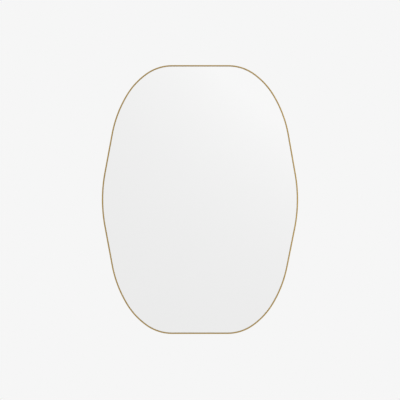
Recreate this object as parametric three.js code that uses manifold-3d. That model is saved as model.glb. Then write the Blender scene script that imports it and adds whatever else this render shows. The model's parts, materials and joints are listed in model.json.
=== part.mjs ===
/**
 * Irregular shaped wall mirror: a thin flat-bar frame bent to a soft, leaning outline round a silvered
 * glass, with the board, lugs, hangers and bumpers that carry it behind.
 *
 * Millimetres. +X is right as seen from the front, +Y goes back to the wall and +Z is up. The origin
 * lies on the wall's face, behind the middle of the mirror.
 */
import * as THREE from 'three';
import { mergeVertices } from 'three/addons/utils/BufferGeometryUtils.js';
import Module from 'manifold-3d';

const wasm = await Module();
wasm.setup();

// Outline, at the frame's outer edge. Each corner turns from the level crown to a leaning side through
// three arcs that open out; a straight flank follows, and a wide arc turns it upright at mid-height.
const OVERALL_HEIGHT = 838;
const OVERALL_WIDTH = 612;
const CROWN_RADIUS = 138;
const CROWN_TURN = 35;
const SHOULDER_RADIUS = 221;
const SHOULDER_TURN = 23.5;
const FLANK_RADIUS = 364;
const SIDE_RADIUS = 460;
const LEAN_TOP_RIGHT = 10.0;
const LEAN_BOTTOM_RIGHT = 11.35;
const LEAN_BOTTOM_LEFT = 10.55;
const LEAN_TOP_LEFT = 10.55;

// Frame bar
const BAND_THICKNESS = 4;
const BAND_DEPTH = 25;
const BAND_EDGE_BREAK = 0.4;

// Layers, from the front
const GLASS_SETBACK = 2;
const GLASS_THICKNESS = 4;
const GLASS_EDGE_CLEARANCE = 0.3;
const GLASS_ARRIS = 0.5;
const FILM_THICKNESS = 0.3;
const FILM_MARGIN = 1;
const TAPE_THICKNESS = 1.6;
const TAPE_WIDTH = 25;
const TAPE_COUNT = 4;
const TAPE_SIDE_INSET = 112.5;
const TAPE_END_MARGIN = 30;
const PANEL_THICKNESS = 9;
const PANEL_EDGE_CLEARANCE = 1.5;

// Angle lugs, welded inside the band
const LUG_COUNT = 8;
const LUG_WIDTH = 16;
const LUG_REACH = 22;
const LUG_THICKNESS = 1.5;
const LUG_UPSTAND = 6;
const LUG_SCREW_INSET = 14;
const WELD_GAP = 0.3;

// Screws, all driven from the back
const SCREW_SHANK_RADIUS = 1.75;
const SCREW_HEAD_RADIUS = 3.6;
const SCREW_HEAD_HEIGHT = 2;
const SCREW_RIM_HEIGHT = 1;
const SCREW_CROWN_RADIUS = 2.2;
const SCREW_TIP_LENGTH = 1.5;
const SCREW_BITE = 7;
const SCREW_CLEARANCE = 0.3;
const DRILL_START = 1;
const RECESS_SPAN = 3.4;
const RECESS_WIDTH = 0.8;
const RECESS_DEPTH = 1.2;

// Strap hangers, and the D-rings that swing in their eyes
const HANGER_DROP = 280;
const HANGER_INSET = 90;
const STRAP_WIDTH = 12;
const STRAP_THICKNESS = 1.2;
const STRAP_SCREW_PITCH = 14;
const STRAP_END_MARGIN = 8;
const RING_WIRE_RADIUS = 1.5;
const RING_INNER_WIDTH = 20;
const RING_LEG_LENGTH = 8;
const RING_BEND_RADIUS = 3;
const RING_CLEARANCE = 0.3;
const STRAP_SCREW_CLEARANCE = 2;

// Bumpers, screwed to the panel, clockwise from the top right
const BUMPER_CORNERS = ['top_right', 'bottom_right', 'bottom_left', 'top_left'];
const BUMPER_INSET = 34;
const BUMPER_STAND_OFF = 1.5;
const BUMPER_BASE_RADIUS = 9;
const BUMPER_FOOT_RADIUS = 7.5;
const BUMPER_FLOOR = 3;
const BUMPER_EDGE_BREAK = 0.6;
const BUMPER_WELL_CLEARANCE = 0.6;

// Faceting
const CHORD_ERROR = 0.05;
const WIRE_CHORD_ERROR = 0.02;
const WIRE_SIDES = 10;
const SCREW_SIDES = 12;
const BUMPER_SIDES = 24;
const WELD_TOLERANCE = 1e-4;

// Planes across the depth, on Y
const RIM_Y = -BUMPER_STAND_OFF;
const FRONT_Y = RIM_Y - BAND_DEPTH;
const GLASS_FRONT_Y = FRONT_Y + GLASS_SETBACK;
const GLASS_BACK_Y = GLASS_FRONT_Y + GLASS_THICKNESS;
const FILM_BACK_Y = GLASS_BACK_Y + FILM_THICKNESS;
const PANEL_FRONT_Y = FILM_BACK_Y + TAPE_THICKNESS;
const PANEL_BACK_Y = PANEL_FRONT_Y + PANEL_THICKNESS;

// Insets from the outline
const GLASS_INSET = BAND_THICKNESS + GLASS_EDGE_CLEARANCE;
const FILM_INSET = GLASS_INSET + FILM_MARGIN;
const PANEL_INSET = BAND_THICKNESS + PANEL_EDGE_CLEARANCE;

// Hole that a screw passes through or bites in, measured to its corners
const SCREW_HOLE_RADIUS = (SCREW_SHANK_RADIUS + SCREW_CLEARANCE) / Math.cos(Math.PI / SCREW_SIDES);

// A bumper reaches from the panel to the wall
const BUMPER_HEIGHT = -PANEL_BACK_Y;

// Hanger sizes that follow from the ring; the eye's bore is measured to its corners
const EYE_BORE_RADIUS = (RING_WIRE_RADIUS + RING_CLEARANCE) / Math.cos(Math.PI / (2 * WIRE_SIDES));
const EYE_RADIUS = RING_WIRE_RADIUS + RING_CLEARANCE + STRAP_THICKNESS;
const RING_ARC_RADIUS = RING_INNER_WIDTH / 2 + RING_WIRE_RADIUS;
const RING_DROP = RING_LEG_LENGTH + RING_BEND_RADIUS + RING_ARC_RADIUS + RING_WIRE_RADIUS;
const STRAP_FIRST_SCREW = RING_DROP + STRAP_SCREW_CLEARANCE + SCREW_HEAD_RADIUS;
const STRAP_SCREW_DROPS = [STRAP_FIRST_SCREW, STRAP_FIRST_SCREW + STRAP_SCREW_PITCH];
const STRAP_LENGTH = STRAP_SCREW_DROPS[1] + STRAP_END_MARGIN;

const MATERIALS = {
  brass: () => new THREE.MeshStandardMaterial({ color: 0xab956c, roughness: 0.38, metalness: 1 }),
  mirror: () => new THREE.MeshStandardMaterial({ color: 0xeef0f0, roughness: 0.03, metalness: 1 }),
  film: () => new THREE.MeshStandardMaterial({ color: 0xb9bdc0, roughness: 0.6, metalness: 0 }),
  foam: () => new THREE.MeshStandardMaterial({ color: 0xe9e7e0, roughness: 0.9, metalness: 0 }),
  board: () => new THREE.MeshStandardMaterial({ color: 0x24221f, roughness: 0.8, metalness: 0 }),
  zinc: () => new THREE.MeshStandardMaterial({ color: 0xb4b7b8, roughness: 0.35, metalness: 1 }),
  rubber: () => new THREE.MeshStandardMaterial({ color: 0x1c1c1c, roughness: 0.85, metalness: 0 }),
};

/** Steps that keep an arc's facets within a chord error. */
function arcSteps(radius, turn, chordError) {
  const step = 2 * Math.acos(1 - Math.min(chordError / radius, 1));
  return Math.max(1, Math.ceil(turn / step));
}

/**
 * Walks a closed path clockwise from a point, heading +X, through straights ({ length }) and right-hand
 * arcs ({ radius, turn in degrees }). Returns its stations on the XZ plane, each with its outward normal.
 */
function walk(x, z, moves, chordError) {
  const stations = [];
  let heading = 0;
  const mark = () => stations.push({ x, z, nx: Math.sin(heading), nz: Math.cos(heading) });
  for (const { length = 0, radius = 0, turn = 0 } of moves) {
    if (turn > 0) {
      const steps = arcSteps(radius, THREE.MathUtils.degToRad(turn), chordError);
      const step = THREE.MathUtils.degToRad(turn) / steps;
      for (let i = 0; i < steps; i += 1) {
        x += radius * (Math.sin(heading + step) - Math.sin(heading));
        z += radius * (Math.cos(heading + step) - Math.cos(heading));
        heading += step;
        mark();
      }
    } else if (length > 0) {
      x += length * Math.cos(heading);
      z -= length * Math.sin(heading);
      mark();
    }
  }
  return stations;
}

/**
 * One corner of the outline, from the crown to the apex at mid-height. The crown flat and the straight
 * flank are what the arcs leave, and the three arcs shrink together where the sides leave them no room.
 */
function corner(lean) {
  const arcs = [
    { radius: CROWN_RADIUS, turn: CROWN_TURN },
    { radius: SHOULDER_RADIUS, turn: SHOULDER_TURN },
    { radius: FLANK_RADIUS, turn: 90 - lean - CROWN_TURN - SHOULDER_TURN },
  ];
  let run = 0;
  let drop = 0;
  let heading = 0;
  for (const { radius, turn } of arcs) {
    const next = heading + THREE.MathUtils.degToRad(turn);
    run += radius * (Math.sin(next) - Math.sin(heading));
    drop += radius * (Math.cos(heading) - Math.cos(next));
    heading = next;
  }
  const slope = THREE.MathUtils.degToRad(lean);
  const height = OVERALL_HEIGHT / 2 - SIDE_RADIUS * Math.sin(slope);
  const width = OVERALL_WIDTH / 2 - SIDE_RADIUS * (1 - Math.cos(slope)) - height * Math.tan(slope);
  const scale = Math.min(1, height / drop, width / (run - drop * Math.tan(slope)));
  const flank = (height - scale * drop) / Math.cos(slope);
  const crown = width - scale * (run - drop * Math.tan(slope));
  return [
    { length: crown },
    ...arcs.map(({ radius, turn }) => ({ radius: radius * scale, turn })),
    { length: flank },
    { radius: SIDE_RADIUS, turn: lean },
  ];
}

/** The whole outline, clockwise from the top centre. */
function outline() {
  const moves = [
    ...corner(LEAN_TOP_RIGHT),
    ...corner(LEAN_BOTTOM_RIGHT).reverse(),
    ...corner(LEAN_BOTTOM_LEFT),
    ...corner(LEAN_TOP_LEFT).reverse(),
  ];
  return walk(0, OVERALL_HEIGHT / 2, moves, CHORD_ERROR);
}

const OUTLINE = outline();

/** The point a fraction of the way round the outline, set in from it along the normal. */
function pointAlong(fraction, inset) {
  const count = OUTLINE.length;
  const lengths = OUTLINE.map((station, i) => {
    const previous = OUTLINE[(i + count - 1) % count];
    return Math.hypot(station.x - previous.x, station.z - previous.z);
  });
  const total = lengths.reduce((sum, length) => sum + length, 0);
  let left = fraction * total;
  let i = 0;
  while (left > lengths[i] && i < count - 1) {
    left -= lengths[i];
    i += 1;
  }
  const from = OUTLINE[(i + count - 1) % count];
  const to = OUTLINE[i];
  const between = (key) => THREE.MathUtils.lerp(from[key], to[key], left / lengths[i]);
  const angle = Math.atan2(between('nx'), between('nz'));
  return {
    x: between('x') - inset * Math.sin(angle),
    z: between('z') - inset * Math.cos(angle),
    angle,
  };
}

/** A path moved inward along its normals. */
function insetPath(stations, inset) {
  return stations.map(({ x, z, nx, nz }) => ({ x: x - inset * nx, z: z - inset * nz }));
}

/** Where the inset outline crosses a line: its lowest and highest value on the other axis. */
function crossings(axis, value, inset) {
  const other = axis === 'x' ? 'z' : 'x';
  const ring = insetPath(OUTLINE, inset);
  const found = [];
  ring.forEach((to, i) => {
    const from = ring[(i + ring.length - 1) % ring.length];
    if ((from[axis] - value) * (to[axis] - value) <= 0 && from[axis] !== to[axis]) {
      const t = (value - from[axis]) / (to[axis] - from[axis]);
      found.push(THREE.MathUtils.lerp(from[other], to[other], t));
    }
  });
  return [Math.min(...found), Math.max(...found)];
}

/**
 * Sweeps a section round a closed path. The section is a list of [inset, y] pairs, from front to back
 * along the outer side. A closed section makes a bar; an open one makes a plate, capped flat.
 */
function sweep(stations, section, closed) {
  const rings = section.map(([inset, y]) => insetPath(stations, inset).map(({ x, z }) => [x, y, z]));
  const count = stations.length;
  const index = [];
  const bands = closed ? section.length : section.length - 1;
  for (let band = 0; band < bands; band += 1) {
    const near = band * count;
    const far = ((band + 1) % section.length) * count;
    for (let i = 0; i < count; i += 1) {
      const next = (i + 1) % count;
      index.push(near + i, near + next, far + next, near + i, far + next, far + i);
    }
  }
  if (!closed) {
    const contour = rings[0].map(([x, , z]) => new THREE.Vector2(x, z));
    const back = (section.length - 1) * count;
    for (const [a, b, c] of THREE.ShapeUtils.triangulateShape(contour, [])) {
      index.push(a, b, c, back + a, back + c, back + b);
    }
  }
  const geometry = new THREE.BufferGeometry();
  geometry.setAttribute('position', new THREE.Float32BufferAttribute(rings.flat(2), 3));
  geometry.setIndex(index);
  return geometry;
}

/** A closed solid for joining and cutting. */
function solid(geometry) {
  const bare = geometry.clone();
  bare.deleteAttribute('normal');
  bare.deleteAttribute('uv');
  const merged = mergeVertices(bare, WELD_TOLERANCE);
  const mesh = new wasm.Mesh({
    numProp: 3,
    vertProperties: new Float32Array(merged.attributes.position.array),
    triVerts: new Uint32Array(merged.index.array),
  });
  return new wasm.Manifold(mesh);
}

/** Joins forms into one piece and cuts tools out of it. */
function carve(forms, tools) {
  const whole = forms.map(solid).reduce((piece, form) => piece.add(form));
  const left = tools.reduce((piece, tool) => piece.subtract(solid(tool)), whole);
  const { vertProperties, triVerts } = left.getMesh();
  const result = new THREE.BufferGeometry();
  result.setAttribute('position', new THREE.BufferAttribute(vertProperties, 3));
  result.setIndex(new THREE.BufferAttribute(triVerts, 1));
  return result;
}

/** A solid of revolution about Y, from [radius, y] pairs that run upward. */
function turned(profile, sides) {
  return new THREE.LatheGeometry(profile.map(([radius, y]) => new THREE.Vector2(radius, y)), sides);
}

/** A flat outline given a thickness along the shape's own third axis. */
function thickened(shape, depth) {
  return new THREE.ExtrudeGeometry(shape, { depth, bevelEnabled: false, curveSegments: WIRE_SIDES });
}

/** A flat outline on the XZ plane, thickened from y = 0 to the back. */
function plate(shape, thickness) {
  return thickened(shape, thickness).rotateX(Math.PI / 2).translate(0, thickness, 0);
}

/** A section on the YZ plane, pulled along X and centred on it. */
function pulled(shape, width) {
  const geometry = thickened(shape, width).translate(0, 0, -width / 2);
  // The shape's x becomes Y, its y becomes Z and its depth becomes X.
  geometry.applyMatrix4(new THREE.Matrix4().makeBasis(
    new THREE.Vector3(0, 1, 0),
    new THREE.Vector3(0, 0, 1),
    new THREE.Vector3(1, 0, 0),
  ));
  return geometry;
}

/** The tool for a screw's hole: it runs forward from a face at y, and starts a little behind it. */
function drill(x, y, z, depth) {
  const length = depth + DRILL_START;
  const tool = new THREE.CylinderGeometry(SCREW_HOLE_RADIUS, SCREW_HOLE_RADIUS, length, SCREW_SIDES);
  return tool.translate(x, y + DRILL_START - length / 2, z);
}

/** A cross-head screw along Y: its head's seat is at y = 0 and its point is towards the front. */
function screwGeometry(seatThickness) {
  const length = seatThickness + SCREW_BITE;
  const body = turned([
    [0, -length],
    [SCREW_SHANK_RADIUS, SCREW_TIP_LENGTH - length],
    [SCREW_SHANK_RADIUS, 0],
    [SCREW_HEAD_RADIUS, 0],
    [SCREW_HEAD_RADIUS, SCREW_RIM_HEIGHT],
    [SCREW_CROWN_RADIUS, SCREW_HEAD_HEIGHT],
    [0, SCREW_HEAD_HEIGHT],
  ], SCREW_SIDES);
  const slots = [[RECESS_SPAN, RECESS_WIDTH], [RECESS_WIDTH, RECESS_SPAN]].map(([width, height]) => {
    const slot = new THREE.BoxGeometry(width, 2 * RECESS_DEPTH, height);
    slot.translate(0, SCREW_HEAD_HEIGHT, 0);
    return slot;
  });
  return carve([body], slots);
}

/** An angle lug: its plate lies on the panel and its upstand lies along the band, at local z = 0. */
function lugGeometry() {
  const section = new THREE.Shape([
    new THREE.Vector2(0, -LUG_REACH),
    new THREE.Vector2(LUG_THICKNESS, -LUG_REACH),
    new THREE.Vector2(LUG_THICKNESS, -LUG_THICKNESS),
    new THREE.Vector2(LUG_UPSTAND, -LUG_THICKNESS),
    new THREE.Vector2(LUG_UPSTAND, 0),
    new THREE.Vector2(0, 0),
  ]);
  const hole = drill(0, LUG_THICKNESS, -LUG_SCREW_INSET, LUG_THICKNESS + DRILL_START);
  return carve([pulled(section, LUG_WIDTH)], [hole]);
}

/** A round section of the strap's eye, on the YZ plane. */
function eyeSection(radius) {
  return new THREE.Shape().absarc(EYE_RADIUS, 0, radius, 0, 2 * Math.PI, false);
}

/** The strap: a plate on the panel, round at its foot, below a rolled eye whose axis is at local z = 0. */
function strapGeometry() {
  const half = STRAP_WIDTH / 2;
  const outline = new THREE.Shape();
  outline.moveTo(half, 0);
  outline.lineTo(-half, 0);
  outline.absarc(0, half - STRAP_LENGTH, half, Math.PI, 2 * Math.PI, false);
  outline.closePath();
  const eye = pulled(eyeSection(EYE_RADIUS), STRAP_WIDTH);
  const bore = pulled(eyeSection(EYE_BORE_RADIUS), STRAP_WIDTH + 2 * DRILL_START);
  const depth = STRAP_THICKNESS + DRILL_START;
  const holes = STRAP_SCREW_DROPS.map((drop) => drill(0, STRAP_THICKNESS, -drop, depth));
  return carve([plate(outline, STRAP_THICKNESS), eye], [bore, ...holes]);
}

/** The D-ring, hanging from its straight bar, whose axis is local y = 0, z = 0. */
function ringGeometry() {
  const bar = 2 * (RING_ARC_RADIUS - RING_BEND_RADIUS);
  const path = walk(0, 0, [
    { length: bar / 2 },
    { radius: RING_BEND_RADIUS, turn: 90 },
    { length: RING_LEG_LENGTH },
    { radius: RING_ARC_RADIUS, turn: 180 },
    { length: RING_LEG_LENGTH },
    { radius: RING_BEND_RADIUS, turn: 90 },
    { length: bar / 2 },
  ], WIRE_CHORD_ERROR);
  const section = Array.from({ length: WIRE_SIDES }, (_, i) => {
    const angle = (2 * Math.PI * i) / WIRE_SIDES;
    return [-RING_WIRE_RADIUS * Math.sin(angle), -RING_WIRE_RADIUS * Math.cos(angle)];
  });
  return sweep(path, section, true);
}

/** A bumper: a tapered foot with a well for its screw's head. Local y = 0 is the panel's face. */
function bumperGeometry() {
  const wellRadius = SCREW_HEAD_RADIUS + BUMPER_WELL_CLEARANCE;
  return turned([
    [SCREW_HOLE_RADIUS, 0],
    [BUMPER_BASE_RADIUS, 0],
    [BUMPER_BASE_RADIUS, BUMPER_FLOOR],
    [BUMPER_FOOT_RADIUS, BUMPER_HEIGHT - BUMPER_EDGE_BREAK],
    [BUMPER_FOOT_RADIUS - BUMPER_EDGE_BREAK, BUMPER_HEIGHT],
    [wellRadius, BUMPER_HEIGHT],
    [wellRadius, BUMPER_FLOOR],
    [SCREW_HOLE_RADIUS, BUMPER_FLOOR],
    [SCREW_HOLE_RADIUS, 0],
  ], BUMPER_SIDES);
}

const model = new THREE.Group();
const pilotHoles = [];

/** Adds a named piece to a group, at a place. */
function add(name, geometry, material, parent = model, x = 0, y = 0, z = 0) {
  const flat = geometry.index ? geometry.toNonIndexed() : geometry;
  flat.computeVertexNormals();
  const mesh = new THREE.Mesh(flat, material());
  mesh.name = name;
  mesh.position.set(x, y, z);
  parent.add(mesh);
  return mesh;
}

/** A group on the panel's rear face, turned about Y. */
function seat(x, z, angle = 0) {
  const group = new THREE.Group();
  group.position.set(x, PANEL_BACK_Y, z);
  group.rotation.y = angle;
  model.add(group);
  return group;
}

/** Adds a screw to a seat, through a thickness into the panel, and notes its pilot hole. */
function addScrew(name, place, thickness, z = 0) {
  add(name, screwGeometry(thickness), MATERIALS.zinc, place, 0, thickness, z);
  const point = new THREE.Vector3(0, 0, z).applyEuler(place.rotation).add(place.position);
  pilotHoles.push(drill(...point, SCREW_BITE + SCREW_CLEARANCE));
}

/** The frame bar, its four long edges broken. */
function addBand() {
  const back = BAND_THICKNESS - BAND_EDGE_BREAK;
  add('frame_band', sweep(OUTLINE, [
    [BAND_EDGE_BREAK, FRONT_Y],
    [0, FRONT_Y + BAND_EDGE_BREAK],
    [0, RIM_Y - BAND_EDGE_BREAK],
    [BAND_EDGE_BREAK, RIM_Y],
    [back, RIM_Y],
    [BAND_THICKNESS, RIM_Y - BAND_EDGE_BREAK],
    [BAND_THICKNESS, FRONT_Y + BAND_EDGE_BREAK],
    [back, FRONT_Y],
  ], true), MATERIALS.brass);
}

/** The glass, its edges arrised, and the film on its back. */
function addGlass() {
  add('mirror_glass', sweep(OUTLINE, [
    [GLASS_INSET + GLASS_ARRIS, GLASS_FRONT_Y],
    [GLASS_INSET, GLASS_FRONT_Y + GLASS_ARRIS],
    [GLASS_INSET, GLASS_BACK_Y - GLASS_ARRIS],
    [GLASS_INSET + GLASS_ARRIS, GLASS_BACK_Y],
  ], false), MATERIALS.mirror);
  const film = sweep(OUTLINE, [[FILM_INSET, GLASS_BACK_Y], [FILM_INSET, FILM_BACK_Y]], false);
  add('safety_film', film, MATERIALS.film);
}

/** Upright strips of tape, as long as the film leaves room for. */
function addTapes() {
  const reach = OVERALL_WIDTH / 2 - FILM_INSET - TAPE_SIDE_INSET;
  for (let i = 0; i < TAPE_COUNT; i += 1) {
    const x = THREE.MathUtils.lerp(-reach, reach, i / (TAPE_COUNT - 1));
    const ends = [-1, 1].map((side) => crossings('x', x + (side * TAPE_WIDTH) / 2, FILM_INSET));
    const low = Math.max(...ends.map(([bottom]) => bottom)) + TAPE_END_MARGIN;
    const high = Math.min(...ends.map(([, top]) => top)) - TAPE_END_MARGIN;
    const strip = new THREE.BoxGeometry(TAPE_WIDTH, TAPE_THICKNESS, high - low);
    const y = FILM_BACK_Y + TAPE_THICKNESS / 2;
    add(`foam_tape_${i + 1}`, strip, MATERIALS.foam, model, x, y, (high + low) / 2);
  }
}

/** Lugs at even steps round the frame, clear of the weld at the bottom centre, each with its screw. */
function addLugs() {
  const bend = (LUG_WIDTH / 2) ** 2 / (2 * (CROWN_RADIUS - BAND_THICKNESS));
  for (let i = 0; i < LUG_COUNT; i += 1) {
    const { x, z, angle } = pointAlong((i + 0.5) / LUG_COUNT, BAND_THICKNESS + WELD_GAP + bend);
    const place = seat(x, z, angle);
    add(`panel_lug_${i + 1}`, lugGeometry(), MATERIALS.brass, place);
    addScrew(`lug_screw_${i + 1}`, place, LUG_THICKNESS, -LUG_SCREW_INSET);
  }
}

/** A strap hanger on each side, level with each other. */
function addHangers() {
  const z = OVERALL_HEIGHT / 2 - HANGER_DROP;
  const [left, right] = crossings('z', z, BAND_THICKNESS);
  for (const [side, x] of [['left', left + HANGER_INSET], ['right', right - HANGER_INSET]]) {
    const place = seat(x, z);
    add(`hanger_strap_${side}`, strapGeometry(), MATERIALS.zinc, place);
    add(`hanger_ring_${side}`, ringGeometry(), MATERIALS.zinc, place, 0, EYE_RADIUS, 0);
    ['upper', 'lower'].forEach((level, i) => {
      addScrew(`hanger_screw_${side}_${level}`, place, STRAP_THICKNESS, -STRAP_SCREW_DROPS[i]);
    });
  }
}

/** A bumper near each corner, with its screw. */
function addBumpers() {
  BUMPER_CORNERS.forEach((spot, i) => {
    const { x, z } = pointAlong((i + 0.5) / BUMPER_CORNERS.length, BAND_THICKNESS + BUMPER_INSET);
    const place = seat(x, z);
    add(`bumper_${spot}`, bumperGeometry(), MATERIALS.rubber, place);
    addScrew(`bumper_screw_${spot}`, place, BUMPER_FLOOR);
  });
}

/** The board behind the glass, with a pilot hole for each screw. */
function addPanel() {
  const board = sweep(OUTLINE, [[PANEL_INSET, PANEL_FRONT_Y], [PANEL_INSET, PANEL_BACK_Y]], false);
  add('back_panel', carve([board], pilotHoles), MATERIALS.board);
}

addBand();
addGlass();
addTapes();
addLugs();
addHangers();
addBumpers();
addPanel();

export default model;
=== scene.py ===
"""Irregular shaped wall mirror: a brushed brass bar bent round a silvered glass, and what carries it behind.

Metres. +X is right as seen from the front, +Y goes back to the wall and +Z is up.
"""

import json
import logging
import math
import sys
from dataclasses import dataclass
from enum import Enum
from typing import Any, NamedTuple

import bmesh
import bpy
from mathutils import Matrix, Vector

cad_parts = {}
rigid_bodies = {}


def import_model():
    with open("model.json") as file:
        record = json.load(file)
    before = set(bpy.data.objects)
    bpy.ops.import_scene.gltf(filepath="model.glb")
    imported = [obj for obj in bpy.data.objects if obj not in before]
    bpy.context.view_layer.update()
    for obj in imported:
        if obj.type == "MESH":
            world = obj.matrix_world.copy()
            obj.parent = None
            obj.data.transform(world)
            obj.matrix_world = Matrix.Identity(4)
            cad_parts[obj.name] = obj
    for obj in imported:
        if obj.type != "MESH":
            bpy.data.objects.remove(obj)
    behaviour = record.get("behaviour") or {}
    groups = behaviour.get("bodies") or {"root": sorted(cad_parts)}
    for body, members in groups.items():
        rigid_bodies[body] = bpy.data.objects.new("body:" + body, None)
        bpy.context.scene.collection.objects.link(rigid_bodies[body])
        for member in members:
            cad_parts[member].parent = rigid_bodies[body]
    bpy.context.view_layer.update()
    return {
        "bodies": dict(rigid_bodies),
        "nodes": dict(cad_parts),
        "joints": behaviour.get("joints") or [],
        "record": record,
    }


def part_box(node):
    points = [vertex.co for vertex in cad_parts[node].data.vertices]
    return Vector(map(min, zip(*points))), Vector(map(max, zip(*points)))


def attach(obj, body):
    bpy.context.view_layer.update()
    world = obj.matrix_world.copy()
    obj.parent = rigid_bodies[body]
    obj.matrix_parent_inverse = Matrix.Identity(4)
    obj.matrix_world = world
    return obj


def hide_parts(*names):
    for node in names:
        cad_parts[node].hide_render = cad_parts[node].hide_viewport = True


LOG = logging.getLogger("mirror")
MM = 0.001
TURN = 2 * math.pi

CHORD_ERROR = 0.004 * MM
MERGE_DISTANCE = 1e-7
ON_AXIS = 1e-9
HARD_CORNER = math.radians(40)
BAR_THICKNESS = 4 * MM
SCREW_HOLE_RADIUS = 2.1 * MM
DRILL_SIDES = 24
NODE_SPACING = 220
WHITE = (1.0, 1.0, 1.0)

Pair = tuple[float, float]
Point = tuple[float, float, float]
Face = tuple[int, ...]
Piece = bpy.types.Object
Socket = bpy.types.NodeSocket


class Body(Enum):
    """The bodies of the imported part."""

    MIRROR = "mirror"
    LEFT_RING = "left_ring"
    RIGHT_RING = "right_ring"


class Slot(Enum):
    """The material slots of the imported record."""

    FRAME = "frame_metal"
    MIRROR = "mirror"
    FOAM = "foam"
    ZINC = "zinc"
    RUBBER = "bumper_rubber"


class Kind(Enum):
    """The kinds of node group."""

    SHADER = "ShaderNodeTree"
    SHAPE = "GeometryNodeTree"


# ---------------------------------------------------------------- node trees


class Tree:
    """Places nodes in one node tree and joins them."""

    def __init__(self, tree: bpy.types.NodeTree) -> None:
        """Starts on a tree."""
        self.tree = tree

    def feed(self, socket: Socket, value: Any) -> None:
        """Feeds one input of a node.

        Args:
            socket: The input.
            value: A socket to link it to, or a plain value.
        """
        if isinstance(value, Socket):
            self.tree.links.new(value, socket)
        else:
            socket.default_value = value

    def add(self, kind: str, feeds: dict[str | int, Any] | None = None, **settings: Any) -> bpy.types.Node:
        """Adds a node, sets its properties and feeds its inputs.

        Args:
            kind: The node's type name.
            feeds: A socket to link, or a plain value, for each input by name or index.
            **settings: Properties of the node itself.

        Returns:
            The node.
        """
        node = self.tree.nodes.new(kind)
        node.location = (NODE_SPACING * len(self.tree.nodes), 0)
        for name, value in settings.items():
            setattr(node, name, value)
        for key, value in (feeds or {}).items():
            self.feed(node.inputs[key], value)
        return node

    def math(self, operation: str, a: Any, b: Any = 0.0, clamp: bool = False) -> Socket:
        """A Math node's result for two values, kept from 0 to 1 where clamp says so."""
        return self.add("ShaderNodeMath", {0: a, 1: b}, operation=operation, use_clamp=clamp).outputs[0]

    def weigh(self, first: Any, second: Any, shares: Pair, clamp: bool = False) -> Socket:
        """Adds two values up, each times its share."""
        parts = [self.math("MULTIPLY", value, share) for value, share in zip((first, second), shares)]
        return self.math("ADD", *parts, clamp=clamp)

    def noise(self, place: Any, scale: Any, detail: float = 2.0, roughness: float = 0.5) -> Socket:
        """A fractal noise from 0 to 1, with so many features to the unit of its place."""
        feeds = {"Vector": place, "Scale": scale, "Detail": detail, "Roughness": roughness}
        return self.add("ShaderNodeTexNoise", feeds).outputs[0]

    def spread(self, value: Any, low: Any, high: Any, start: Any = 0.0, end: Any = 1.0) -> Socket:
        """Maps a value from low..high to start..end, clamped."""
        feeds = {"Value": value, 1: low, 2: high, 3: start, 4: end}
        return self.add("ShaderNodeMapRange", feeds).outputs[0]

    def blend(self, factor: Any, a: Any, b: Any) -> Socket:
        """Blends two colours by a factor."""
        return self.add("ShaderNodeMix", {0: factor, 6: a, 7: b}, data_type="RGBA").outputs[2]

    def combine(self, x: Any = 0.0, y: Any = 0.0, z: Any = 0.0) -> Socket:
        """A vector of three parts."""
        return self.add("ShaderNodeCombineXYZ", {0: x, 1: y, 2: z}).outputs[0]

    def parts(self, vector: Any) -> Any:
        """The parts X, Y and Z of a vector."""
        return self.add("ShaderNodeSeparateXYZ", {0: vector}).outputs

    def times(self, a: Any, b: Any) -> Socket:
        """Multiplies two vectors, part by part."""
        return self.add("ShaderNodeVectorMath", {0: a, 1: b}, operation="MULTIPLY").outputs["Vector"]

    def reach(self, vector: Any) -> Socket:
        """How long a vector is."""
        return self.add("ShaderNodeVectorMath", {0: vector}, operation="LENGTH").outputs["Value"]


FLOAT = "NodeSocketFloat"
VECTOR = "NodeSocketVector"
COLOUR = "NodeSocketColor"
GEOMETRY = "NodeSocketGeometry"
OBJECT = "NodeSocketObject"
MATERIAL = "NodeSocketMaterial"
VALUE_SOCKETS = {float: FLOAT, int: "NodeSocketInt", tuple: COLOUR}


class Group(Tree):
    """A node group with named inputs and outputs."""

    def __init__(self, kind: Kind, name: str, takes: dict[str, Any], gives: dict[str, str]) -> None:
        """Makes the group with its input and output nodes.

        Args:
            kind: What the group is for.
            name: The group's name.
            takes: Each input's value, or its type where it has none.
            gives: Each output's type.
        """
        super().__init__(bpy.data.node_groups.new(name, kind.value))
        for label, value in takes.items():
            bare = isinstance(value, str)
            socket_type = value if bare else VALUE_SOCKETS[type(value)]
            socket = self.tree.interface.new_socket(name=label, in_out="INPUT", socket_type=socket_type)
            if not bare:
                socket.default_value = value
        for label, socket_type in gives.items():
            self.tree.interface.new_socket(name=label, in_out="OUTPUT", socket_type=socket_type)
        self.given = self.add("NodeGroupInput").outputs
        self.ends = self.add("NodeGroupOutput").inputs

    def give(self, **results: Socket) -> bpy.types.NodeTree:
        """Links each result to its output.

        Args:
            **results: The results by the outputs' names.

        Returns:
            The tree.
        """
        for name, socket in results.items():
            self.feed(self.ends[name], socket)
        return self.tree


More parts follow.
